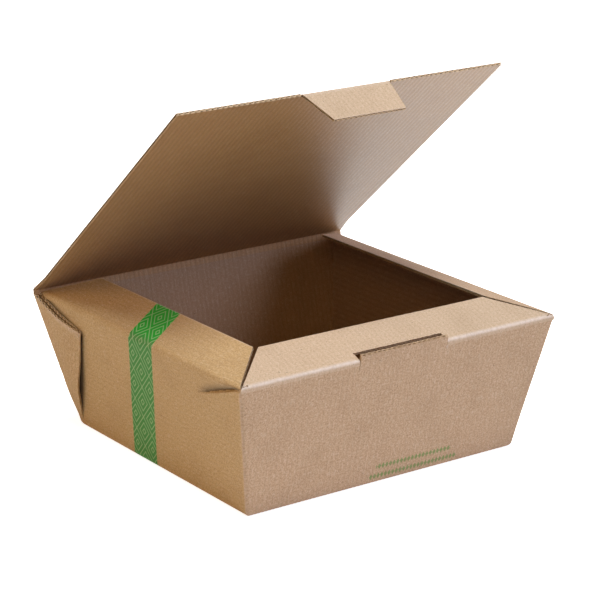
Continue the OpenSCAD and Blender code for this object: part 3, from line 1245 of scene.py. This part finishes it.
@dataclass
class Lid:
    """The lid with the top of the back wall, and the tuck tab at its front edge.

    Rows are distances from each panel's own crease, and the wears are given as wear_at takes them.
    """

    finishes: Sequence[bpy.types.Material]
    tab_finishes: Sequence[bpy.types.Material]
    tab_root: float = 3.0
    flare_l: float = 13.0
    flare_rows: tuple[float, ...] = (3.0, 6.0, 9.0, 13.0)
    flat_from: float = 26.0
    flat_rows: int = 13
    corner_half: float = 108.5
    edge_row: float = 0.9
    tab_relief_end: float = -2.0
    tab_relief_clear: float = -1.5
    tab_rows: tuple[float, ...] = (2.4, 6.0, 10.0, 14.0, 18.0, 21.0)
    tab_edge_row: float = 0.8
    crease_wear_w: float = 1.2
    lid_wear: tuple[float, float, float] = (0.35, 0.4, 0.5)
    tab_wear: tuple[float, float, float] = (0.3, 0.3, 0.6)
    pressed: float = 0.22
    pressed_w: float = 0.1

    @property
    def hinge_fold(self) -> Fold:
        """The fold between the back wall and the lid.

        Returns:
            The fold in the plane across the crease.
        """
        point = joint_point("lid_hinge")
        wall, heading = math.pi / 2 - SIZES.front_lean, math.pi - math.radians(SIZES.lid_open)
        return Fold((float(point[1]), float(point[2])), wall, heading, SIZES.crease_r)

    @property
    def tab_fold(self) -> Fold:
        """The fold between the lid and the tuck tab.

        Returns:
            The fold in the plane across the crease.
        """
        point = joint_point("tab_fold")
        heading = math.pi - math.radians(SIZES.lid_open)
        turned = heading + math.radians(SIZES.tab_open)
        return Fold((float(point[1]), float(point[2])), heading, turned, SIZES.crease_r)

    def wear_at(self, s: Array, end: float, amounts: tuple[float, float, float]) -> Array:
        """How scuffed a panel is along its crease and its free edge.

        Args:
            s: Distance from the crease.
            end: Distance of the free edge.
            amounts: Scuffing on the crease, on the edge, and how wide the edge's is.

        Returns:
            The wear, from 0 to 1.
        """
        on_crease, on_edge, edge_w = amounts
        wear_and_shade = on_crease * np.exp(-((s / self.crease_wear_w) ** 2))
        return np.clip(wear_and_shade + on_edge * np.clip(s - end + edge_w, 0, 1), 0, 1)

    def lid_grid(self) -> BoardGrid:
        """Lays the grid over the lid and the top of the back wall.

        Returns:
            The grid, with the tab's recess left out.
        """
        fold = self.hinge_fold
        front = SIZES.lid_l + HALF_T
        notch = SIZES.lid_l - self.tab_root
        start = (SIZES.tray_h - HALF_T - float(joint_point("lid_hinge")[2])) / math.cos(SIZES.front_lean)
        below = start - SIZES.crease_reach
        flare = fold.reach + np.array(self.flare_rows)
        flat = np.linspace(self.flat_from, notch, self.flat_rows)
        rows = np.concatenate([[below, start], fold.rows(), flare, flat, [front - self.edge_row, front]])
        wall_half = SIDE.outer_at(SIZES.tray_h + np.minimum(rows, 0)) + SIZES.wrap
        share = np.clip((rows - fold.reach) / self.flare_l, 0, 1)
        half = np.minimum(wall_half, self.corner_half) * (1 - share) + SIZES.lid_w / 2 * share
        recess = SIZES.tab_w / 2 + SIZES.tab_relief
        places = BOARD.columns(-half.max(), half.max(), None, (-recess, recess))
        c = np.clip(places[None, :], -half[:, None], half[:, None])
        s = np.repeat(rows[:, None], c.shape[1], axis=1)
        keep = ~notch_cells(middles(rows) > notch, places, recess)
        wear_and_shade = self.wear_at(s, front, self.lid_wear)
        crush = self.pressed * (s > front - self.pressed_w)
        return BoardGrid(s, c, True, keep=keep, wear_and_shade=wear_and_shade, crush=crush, blank_shift=FRONT.crease)

    def tab_grid(self) -> BoardGrid:
        """Lays the grid over the tab and the strip of lid that carries it.

        Returns:
            The grid.
        """
        fold = self.tab_fold
        edge = [SIZES.tab_l - self.tab_edge_row, SIZES.tab_l]
        rows = np.concatenate([[-self.tab_root, self.tab_relief_end], fold.rows(), self.tab_rows, edge])
        taper = SIZES.tab_taper * np.clip(rows / SIZES.tab_l, 0, 1)
        half = SIZES.tab_w / 2 + np.where(rows < self.tab_relief_clear, SIZES.tab_relief, 0.0) - taper
        places = BOARD.columns(-half.max(), half.max())
        c = np.clip(places[None, :], -half[:, None], half[:, None])
        s = np.repeat(rows[:, None], c.shape[1], axis=1)
        wear_and_shade = self.wear_at(s, SIZES.tab_l, self.tab_wear)
        crush = self.pressed * (s > SIZES.tab_l - self.pressed_w)
        return BoardGrid(s, c, True, wear_and_shade=wear_and_shade, crush=crush, blank_shift=FRONT.crease + SIZES.lid_l)

    @staticmethod
    def panel_place(fold: Fold) -> Placer:
        """Gives the function that places the points of a panel that turns at a fold.

        Args:
            fold: The fold.

        Returns:
            The placing function.
        """

        def place(s: Array, c: Array, off: Array) -> Array:
            """Places points by their distances across the crease, along it and off mid board."""
            out, up = fold.at(s, off)
            return Facing.BACK.place(out, c, up)

        return place

    def build(self) -> list[bpy.types.Object]:
        """Builds the lid and its tab, each standing for its CAD part.

        Returns:
            The two pieces.
        """
        made = []
        for grid, fold, carrier, body, finishes in (
            (self.lid_grid(), self.hinge_fold, "tray", "lid", self.finishes),
            (self.tab_grid(), self.tab_fold, "lid", "tuck_tab", self.tab_finishes),
        ):
            mesh = PanelMesh()
            add_board(mesh, grid, self.panel_place(fold))
            piece = mesh.build(f"{body}_board", finishes)
            blend_over(piece, fold, Facing.BACK)
            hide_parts(body)
            made.append(piece)
        return made


def linear(code: str) -> tuple[float, float, float, float]:
    """Turns an sRGB hex colour into the linear values that the shaders take.

    Args:
        code: The colour, such as #c6a484.

    Returns:
        Red, green, blue and full cover.
    """
    values = [int(code[i : i + 2], 16) / 255 for i in (1, 3, 5)]
    red, green, blue = (v / 12.92 if v <= 0.04045 else ((v + 0.055) / 1.055) ** 2.4 for v in values)
    return (red, green, blue, 1.0)


def add_node(
    tree: bpy.types.NodeTree,
    kind: str,
    inputs: dict[str | int, Any] | None = None,
    **settings: Any,
) -> bpy.types.Node:
    """Adds one node with its settings and links.

    Args:
        tree: The node tree.
        kind: Blender's name of the node's type.
        inputs: What goes into each input, by its name or number: a value, a socket that it is linked to,
            or a node whose first output it is linked to.
        settings: The node's own properties.

    Returns:
        The new node.
    """
    node = tree.nodes.new(kind)
    for name, value in settings.items():
        setattr(node, name, value)
    for key, value in (inputs or {}).items():
        if isinstance(value, bpy.types.Node):
            value = value.outputs[0]
        if isinstance(value, bpy.types.NodeSocket):
            tree.links.new(value, node.inputs[key])
        else:
            node.inputs[key].default_value = value
    return node


def fresh_tree(name: str) -> tuple[bpy.types.Material, bpy.types.NodeTree]:
    """Makes a material with an empty node tree.

    Args:
        name: Name of the material.

    Returns:
        The material and its tree.
    """
    material = bpy.data.materials.new(name)
    material.use_nodes = True
    material.node_tree.nodes.clear()
    return material, material.node_tree


@dataclass(frozen=True)
class PaperPattern:
    """Noise over the unfolded sheet, by the size of its features in millimetres across and along the flutes.

    Dark and pale are the noise at which a darker or paler colour begins and is full.
    """

    across: float
    along: float
    detail: float
    rough: float
    dark: tuple[float, float] = (0.0, 0.0)
    pale: tuple[float, float] = (0.0, 0.0)

    def build(self, tree: bpy.types.NodeTree, place: bpy.types.NodeSocket) -> bpy.types.NodeSocket:
        """Adds the noise.

        Args:
            tree: The node tree.
            place: Place in the sheet, in metres.

        Returns:
            The noise, from 0 to 1.
        """
        scale = (1 / self.across / MM, 1 / self.along / MM, 1 / MM)
        scaled = add_node(tree, "ShaderNodeVectorMath", {0: place, 1: scale}, operation="MULTIPLY")
        sockets = {"Vector": scaled, "Scale": 1.0, "Detail": self.detail, "Roughness": self.rough}
        return add_node(tree, "ShaderNodeTexNoise", sockets).outputs["Fac"]


# Fibres are about 0.1 mm wide, drawn near 1 mm so that they show at the render's scale
FIBRES = PaperPattern(0.9, 1.1, 4.0, 0.75, dark=(0.52, 0.30), pale=(0.52, 0.72))
# Bundles of fibres lie along the flutes, about 1 mm wide and 4 mm long
STRANDS = PaperPattern(1.2, 4.0, 2.0, 0.5, pale=(0.52, 0.75))
# The pulp's cloudy tone changes over about 20 mm
CLOUDS = PaperPattern(20, 26, 3.0, 0.55, dark=(0.52, 0.28))
# Specks of bark are under 1 mm, drawn near 2 mm so that they show
SPECKS = PaperPattern(1.9, 1.9, 1.0, 0.5, dark=(0.73, 0.80))
# Scuffed paper breaks up over about 3 mm
SCUFFS = PaperPattern(3.0, 3.0, 4.0, 0.7, pale=(0.25, 0.62))


@dataclass(frozen=True)
class PrintedBand:
    """Green ink over the left wall and flap: nested lozenges in half-drop rows, in millimetres.

    The ink is thin, so the paper's grain shows through it. It is drawn deeper and denser on the flap than on
    the wall, a painted reflection: the wall's ink is left paler by the white sheen it reflects, which the
    flap's does not.
    """

    ink: str = "#148236"
    flap_ink: str = "#00a028"
    line: str = "#9fc08c"
    deepen: float = 5.0
    middle_at_base: float = 14.8
    middle_at_crease: float = -6.3
    middle_at_edge: float = 7.9
    width: float = 24.0
    cell_w: float = 8.0
    cell_l: float = 10.0
    rings: float = 2.5
    line_from: float = 0.34
    line_full: float = 0.42
    line_cover: float = 0.85
    grain_span: tuple[float, float] = (0.2, 0.75)
    most_cover: float = 0.99
    least_cover: float = 0.86
    least_flap_cover: float = 0.98

    def build(
        self,
        tree: bpy.types.NodeTree,
        parts: bpy.types.Node,
        colour: bpy.types.NodeSocket,
        grain: bpy.types.NodeSocket,
    ) -> bpy.types.NodeSocket:
        """Prints the band over the paper.

        Args:
            tree: The node tree.
            parts: The place in the sheet, split into across and along.
            colour: The paper's colour.
            grain: Noise that thins the ink.

        Returns:
            The colour with the print.
        """
        add = partial(add_node, tree)
        up, along = parts.outputs[0], parts.outputs[1]
        crease, edge = SIDE.crease, SIDE.crease + SIZES.flap_w
        # The band's middle leans one way up the wall and back again over the flap
        at_base, at_crease = self.middle_at_base * MM, self.middle_at_crease * MM
        rise = (self.middle_at_edge - self.middle_at_crease) * MM
        low = add("ShaderNodeMapRange", {0: up, 1: 0.0, 2: crease * MM, 3: at_base, 4: at_crease})
        high = add("ShaderNodeMapRange", {0: up, 1: crease * MM, 2: edge * MM, 3: 0.0, 4: rise})
        middle = add("ShaderNodeMath", {0: low, 1: high}, operation="ADD")
        off = add("ShaderNodeMath", {0: along, 1: middle}, operation="SUBTRACT")
        size = add("ShaderNodeMath", {0: off}, operation="ABSOLUTE")
        inside = add("ShaderNodeMath", {0: size, 1: self.width / 2 * MM}, operation="LESS_THAN")
        # Lozenges come from the sum of two zigzags, and their rings from a finer zigzag of that sum
        column = add("ShaderNodeMath", {0: off, 1: self.cell_w * MM}, operation="DIVIDE")
        row = add("ShaderNodeMath", {0: up, 1: self.cell_l * MM}, operation="DIVIDE")
        x = add("ShaderNodeMath", {0: column, 1: 1.0}, operation="PINGPONG")
        y = add("ShaderNodeMath", {0: row, 1: 1.0}, operation="PINGPONG")
        both = add("ShaderNodeMath", {0: x, 1: y}, operation="ADD")
        rings = add("ShaderNodeMath", {0: both, 1: self.rings}, operation="MULTIPLY")
        beat = add("ShaderNodeMath", {0: rings, 1: 0.5}, operation="PINGPONG")
        sockets = {0: beat, 1: self.line_from, 2: self.line_full, 3: 0.0, 4: self.line_cover}
        line = add("ShaderNodeMapRange", sockets)
        # The flap's deeper ink is painted reflection: one ink, paler on the wall for the sheen that it
        # reflects there
        sockets = {0: up, 1: crease * MM, 2: (crease + self.deepen) * MM, 3: 0.0, 4: 1.0}
        deep = add("ShaderNodeMapRange", sockets)
        inks = {0: deep, 6: linear(self.ink), 7: linear(self.flap_ink)}
        ground = add("ShaderNodeMix", inks, data_type="RGBA").outputs[2]
        ink = add("ShaderNodeMix", {0: line, 6: ground, 7: linear(self.line)}, data_type="RGBA").outputs[2]
        sockets = {0: deep, 1: 0.0, 2: 1.0, 3: self.least_cover, 4: self.least_flap_cover}
        least = add("ShaderNodeMapRange", sockets)
        begins, full = self.grain_span
        cover = add("ShaderNodeMapRange", {0: grain, 1: begins, 2: full, 3: self.most_cover, 4: least})
        share = add("ShaderNodeMath", {0: inside, 1: cover}, operation="MULTIPLY")
        return add("ShaderNodeMix", {0: share, 6: colour, 7: ink}, data_type="RGBA").outputs[2]


@dataclass(frozen=True)
class PrintedMarks:
    """Two rows of small green lozenges low on the front wall, in millimetres.

    Each row is given by its first and last place along the wall and its height up the sheet.
    """

    ink: str = "#6f8c4a"
    rows: tuple[tuple[float, float, float], ...] = ((-7.3, 44.2, 10.2), (-11.0, 49.1, 4.3))
    pitch: float = 2.5
    size: float = 1.15
    slimness: float = 0.62
    grain_span: tuple[float, float] = (0.3, 0.7)
    most_cover: float = 0.95
    least_cover: float = 0.65

    def build(
        self,
        tree: bpy.types.NodeTree,
        parts: bpy.types.Node,
        colour: bpy.types.NodeSocket,
        grain: bpy.types.NodeSocket,
    ) -> bpy.types.NodeSocket:
        """Prints the rows over the paper.

        Args:
            tree: The node tree.
            parts: The place in the sheet, split into across and along.
            colour: The paper's colour.
            grain: Noise that thins the ink.

        Returns:
            The colour with the print.
        """
        add = partial(add_node, tree)
        across, up = parts.outputs[0], parts.outputs[1]
        step = add("ShaderNodeMath", {0: across, 1: self.pitch / 2 * MM}, operation="PINGPONG")
        sockets = {1: self.grain_span[0], 2: self.grain_span[1], 3: self.most_cover, 4: self.least_cover}
        cover = add("ShaderNodeMapRange", {0: grain, **sockets})
        for first, last, height in self.rows:
            middle, half = (first + last) / 2 * MM, (last - first) / 2 * MM
            off = add("ShaderNodeMath", {0: up, 1: height * MM}, operation="SUBTRACT")
            high = add("ShaderNodeMath", {0: off}, operation="ABSOLUTE")
            tall = add("ShaderNodeMath", {0: high, 1: self.slimness}, operation="MULTIPLY")
            reach = add("ShaderNodeMath", {0: tall, 1: step}, operation="ADD")
            shape = add("ShaderNodeMath", {0: reach, 1: self.size * MM}, operation="LESS_THAN")
            side = add("ShaderNodeMath", {0: across, 1: middle}, operation="SUBTRACT")
            wide = add("ShaderNodeMath", {0: side}, operation="ABSOLUTE")
            within = add("ShaderNodeMath", {0: wide, 1: half}, operation="LESS_THAN")
            both = add("ShaderNodeMath", {0: shape, 1: within}, operation="MULTIPLY")
            share = add("ShaderNodeMath", {0: both, 1: cover}, operation="MULTIPLY")
            mixed = add("ShaderNodeMix", {0: share, 6: colour, 7: linear(self.ink)}, data_type="RGBA")
            colour = mixed.outputs[2]
        return colour


class Print(Enum):
    """What is printed on a paper surface."""

    NONE = None
    BAND = PrintedBand()
    MARKS = PrintedMarks()


@dataclass(frozen=True)
class KraftPaper:
    """Unbleached kraft liner, machine made: matt, with short dark and pale fibres and cloudy tone.

    The flutes beneath show as faint bands across it, painted shade of the liner's washboard ripples, and the
    fold lines are scuffed pale. Its IOR is that of cellulose, near 1.5. Rough paper scatters at about 0.85,
    and the smoother inner liner at
    0.33 to 0.38.
    """

    name: str
    colour: str
    fibre: str = "#86653f"
    pale: str = "#eedfcb"
    scuff: str = "#ecdfd8"
    speck: str = "#4f3620"
    # Colour of the painted shade laid where the wear runs below zero: the dent's hollow and beside the rear
    # webs
    painted_shade: str = "#2c1c0e"
    grain: float = 0.42
    dark_share: float = 1.6
    strand_share: float = 0.5
    cloud: float = 0.14
    speckle: float = 0.55
    flute_from: float = -0.2
    flute_shade: float = 0.08
    least_scuff: float = 0.25
    painted_shade_share: float = 1.0
    bump: float = 0.25
    bump_depth: float = 0.08
    roughness: float = 0.85
    ior: float = 1.5
    printed: Print = Print.NONE

    def build(self) -> bpy.types.Material:
        """Builds the material.

        Returns:
            The new material.
        """
        material, tree = fresh_tree(self.name)
        add = partial(add_node, tree)
        place = add("ShaderNodeAttribute", attribute_name="blank").outputs["Vector"]
        wear_and_shade = add("ShaderNodeAttribute", attribute_name="wear_and_shade").outputs["Fac"]
        parts = add("ShaderNodeSeparateXYZ", {0: place})
        grain = FIBRES.build(tree, place)
        layers = (
            (grain, FIBRES.dark, self.grain * self.dark_share, self.fibre),
            (grain, FIBRES.pale, self.grain, self.pale),
            (STRANDS.build(tree, place), STRANDS.pale, self.grain * self.strand_share, self.pale),
            (CLOUDS.build(tree, place), CLOUDS.dark, self.cloud, self.fibre),
            (SPECKS.build(tree, place), SPECKS.dark, self.speckle, self.speck),
        )
        colour = linear(self.colour)
        for noise, (begins, full), most, tint in layers:
            share = add("ShaderNodeMapRange", {0: noise, 1: begins, 2: full, 3: 0.0, 4: most})
            mixed = add("ShaderNodeMix", {0: share, 6: colour, 7: linear(tint)}, data_type="RGBA")
            colour = mixed.outputs[2]
        # Painted shade of the washboard ripples: bands darker towards the fibre colour at the flutes' pitch
        per_flute = 2 * math.pi / (BOARD.pitch * MM)
        turns = add("ShaderNodeMath", {0: parts, 1: per_flute}, operation="MULTIPLY")
        flute = add("ShaderNodeMath", {0: turns}, operation="SINE")
        share = add("ShaderNodeMapRange", {0: flute, 1: self.flute_from, 2: 1.0, 3: 0.0, 4: self.flute_shade})
        mixed = add("ShaderNodeMix", {0: share, 6: colour, 7: linear(self.fibre)}, data_type="RGBA")
        colour = mixed.outputs[2]
        if self.printed is not Print.NONE:
            colour = self.printed.value.build(tree, parts, colour, grain)
        begins, full = SCUFFS.pale
        sockets = {0: SCUFFS.build(tree, place), 1: begins, 2: full, 3: self.least_scuff, 4: 1.0}
        rubbed = add("ShaderNodeMapRange", sockets)
        worn = add("ShaderNodeMath", {0: wear_and_shade, 1: 0.0}, operation="MAXIMUM")
        amount = add("ShaderNodeMath", {0: rubbed, 1: worn}, operation="MULTIPLY")
        mixed = add("ShaderNodeMix", {0: amount, 6: colour, 7: linear(self.scuff)}, data_type="RGBA")
        # Where the wear runs below zero the paper is darkened towards the painted shade colour
        sockets = {0: wear_and_shade, 1: 0.0, 2: -1.0, 3: 0.0, 4: self.painted_shade_share}
        dark = {0: add("ShaderNodeMapRange", sockets), 6: mixed.outputs[2], 7: linear(self.painted_shade)}
        colour = add("ShaderNodeMix", dark, data_type="RGBA").outputs[2]
        sockets = {"Height": grain, "Strength": self.bump, "Distance": self.bump_depth * MM}
        rough = add("ShaderNodeBump", sockets)
        sockets = {"Base Color": colour, "Roughness": self.roughness, "Normal": rough, "IOR": self.ior}
        shader = add("ShaderNodeBsdfPrincipled", sockets)
        add("ShaderNodeOutputMaterial", {"Surface": shader})
        return material


@dataclass(frozen=True)
class Lamp:
    """A soft square lamp that looks at the box: place and size in metres, power in watts, sRGB colour."""

    name: str
    place: tuple[float, float, float]
    power: float
    colour: str
    size: float = 2.25
    aim: tuple[float, float, float] = (0.0, 0.0, 0.08)

    def build(self) -> None:
        """Adds the lamp to the scene."""
        data = bpy.data.lights.new(self.name, "AREA")
        data.shape = "SQUARE"
        data.size = self.size
        data.energy = self.power
        data.color = linear(self.colour)[:3]
        lamp = bpy.data.objects.new(self.name, data)
        bpy.context.scene.collection.objects.link(lamp)
        lamp.location = self.place
        toward = Vector(self.aim) - Vector(self.place)
        lamp.rotation_euler = toward.to_track_quat("-Z", "Y").to_euler()


@dataclass(frozen=True)
class Studio:
    """Plain pale floor, soft light and the camera at the photograph's angle.

    The lens and the sensor are in millimetres, and so is the camera's place.
    """

    lens: float = 139.952
    sensor: float = 36.0
    clip: tuple[float, float] = (0.05, 50.0)
    eye: tuple[float, float, float] = (-727.23, -1053.11, 482.42)
    ahead: tuple[float, float, float] = (0.54628, 0.78171, -0.30084)
    right: tuple[float, float, float] = (0.81853, -0.57443, -0.00626)
    floor: str = "#f4f4f3"
    floor_reach: float = 30.0
    floor_drop: float = 0.0002
    floor_glow: float = 0.9
    lamps: tuple[Lamp, ...] = (
        Lamp("ceiling", (0.0, -0.75, 4.5), 153, "#f8fffc"),
        Lamp("front", (2.6, -2.6, 2.4), 110, "#dbe1ff"),
        Lamp("fill", (-2.25, -3.25, 2.4), 22, "#ffd790"),
        Lamp("window", (-3.0, 2.5, 2.0), 54, "#ffc677"),
    )

    def camera(self) -> None:
        """Places the camera as the photograph was taken."""
        data = bpy.data.cameras.new("camera")
        data.sensor_width = self.sensor
        data.lens = self.lens
        data.clip_start, data.clip_end = self.clip
        camera = bpy.data.objects.new("camera", data)
        bpy.context.scene.collection.objects.link(camera)
        back = -Vector(self.ahead).normalized()
        side = Vector(self.right).normalized()
        up = back.cross(side)
        turn = Matrix((side, up, back)).transposed().to_4x4()
        camera.matrix_world = Matrix.Translation(Vector(self.eye) * MM) @ turn
        bpy.context.scene.camera = camera

    def ground(self) -> None:
        """Lays the pale floor, white to the camera where nothing shades it."""
        mesh = bpy.data.meshes.new("floor")
        reach = self.floor_reach
        corners = [(-reach, -reach, 0), (reach, -reach, 0), (reach, reach, 0), (-reach, reach, 0)]
        mesh.from_pydata(corners, [], [(0, 1, 2, 3)])
        floor = bpy.data.objects.new("floor", mesh)
        bpy.context.scene.collection.objects.link(floor)
        floor.location.z = -self.floor_drop
        material, tree = fresh_tree("pale_floor")
        add = partial(add_node, tree)
        rays = add("ShaderNodeLightPath").outputs
        seen = {0: rays["Is Camera Ray"], 1: rays["Is Glossy Ray"]}
        seen = {0: add("ShaderNodeMath", seen, operation="ADD"), 1: rays["Is Transmission Ray"]}
        seen = add("ShaderNodeMath", seen, operation="ADD")
        diffuse = add("ShaderNodeBsdfDiffuse", {"Color": linear(self.floor)})
        glow = add("ShaderNodeEmission", {"Color": linear("#ffffff"), "Strength": self.floor_glow})
        none = add("ShaderNodeEmission", {"Color": linear("#000000"), "Strength": 0.0})
        lift = add("ShaderNodeMixShader", {0: seen, 1: none, 2: glow})
        both = add("ShaderNodeAddShader", {0: diffuse, 1: lift})
        add("ShaderNodeOutputMaterial", {"Surface": both})
        mesh.materials.append(material)

    def sky(self) -> None:
        """Sets a world that is white to the camera and in gloss, and lights nothing itself."""
        world = bpy.data.worlds.new("studio")
        bpy.context.scene.world = world
        world.use_nodes = True
        tree = world.node_tree
        tree.nodes.clear()
        add = partial(add_node, tree)
        rays = add("ShaderNodeLightPath").outputs
        dark = add("ShaderNodeBackground", {"Color": linear("#ffffff"), "Strength": 0.0})
        white = add("ShaderNodeBackground", {"Color": linear("#ffffff"), "Strength": 1.0})
        sockets = {0: rays["Is Camera Ray"], 1: rays["Is Glossy Ray"]}
        seen = add("ShaderNodeMath", sockets, operation="ADD")
        mixed = add("ShaderNodeMixShader", {0: seen, 1: dark, 2: white})
        add("ShaderNodeOutputWorld", {"Surface": mixed})

    def build(self) -> None:
        """Sets up the whole studio."""
        self.camera()
        self.sky()
        self.ground()
        for lamp in self.lamps:
            lamp.build()
        bpy.context.scene.view_settings.view_transform = "Standard"


def paper_set() -> dict[str, Sequence[bpy.types.Material]]:
    """Makes the board's finishes, each as outside, inside, cut edge and fluting, in the order of Skin.

    Returns:
        The materials by the name of the finish.
    """
    # Machine-made liner: matt warm brown, alive with fine dark and pale fibres
    outside = KraftPaper("kraft_liner_outside", "#c6a484").build()
    # The same liner under thin green ink, with the fibres showing through; its paper is a little yellower as
    # painted warm light on the left side
    banded = KraftPaper("kraft_liner_printed_band", "#c6a577", printed=Print.BAND).build()
    # The same liner with two faint green rows
    marked = KraftPaper("kraft_liner_printed_marks", "#c6a484", printed=Print.MARKS).build()
    # Pressed liner of the lid: darker and smoother, with a soft veil of light over clear flute bands
    lid_side = KraftPaper(
        "kraft_liner_inside_lid", "#ae855b", flute_shade=0.36, grain=0.26, roughness=0.33, painted_shade_share=0.0
    ).build()
    # Pressed liner of the tray: darker and smoother, with fainter bands
    inside = KraftPaper(
        "kraft_liner_inside", "#a38162", flute_shade=0.2, grain=0.26, roughness=0.38, painted_shade_share=0.0
    ).build()
    # Liner of the front flap and tab: paler than the other outer liners, as painted highlight for the light
    # that falls on them, with less grain
    rim = KraftPaper("kraft_liner_front_rim", "#ceb295", grain=0.3).build()
    # Liner of the left webs: slightly yellower, as painted warm light on the left side
    web = KraftPaper("kraft_liner_web", "#c6a57c").build()
    # Die-cut edges: pale dry fibre with no bands, paler still as a painted highlight of the light that falls
    # on the edges
    cut = KraftPaper("kraft_cut_edge", "#d0b08a", flute_shade=0.0).build()
    # Fluting medium deep in the open flutes: its dark brown is painted shade, for the little light that gets
    # into the flutes
    fluting_in_shade = KraftPaper("kraft_fluting_painted_shade", "#75563a", flute_shade=0.0).build()
    return {
        "plain": (outside, inside, cut, fluting_in_shade),
        "rim": (rim, inside, cut, cut),
        "tongue": (outside, inside, cut, cut),
        "web": (web, inside, cut, fluting_in_shade),
        "printed": (banded, inside, cut, fluting_in_shade),
        "front": (marked, inside, cut, fluting_in_shade),
        "lid": (outside, lid_side, cut, fluting_in_shade),
        "tab": (rim, lid_side, cut, fluting_in_shade),
    }


def main() -> None:
    """Builds the studio and every piece of the box in order."""
    logging.basicConfig(level=logging.INFO, format="%(name)s: %(message)s")
    Studio().build()
    papers = paper_set()
    pieces = Tray(papers).build()
    flaps = (
        RimFlap(Facing.LEFT, "left_rim_flap", papers["printed"], crease_wear=0.05, bend_r=2.4),
        RimFlap(Facing.RIGHT, "right_rim_flap", papers["plain"], crease_wear=0.15, mitre_shut=0.42),
        RimFlap(Facing.FRONT, "front_rim_flap", papers["rim"], crease_wear=0.62, edge_wear=0.0),
    )
    pieces += [flap.build() for flap in flaps]
    pieces += Lid(papers["lid"], papers["tab"]).build()
    for piece in pieces:
        log.info("%s: %d faces", piece.name, len(piece.data.polygons))


if __name__ == "__main__":
    main()
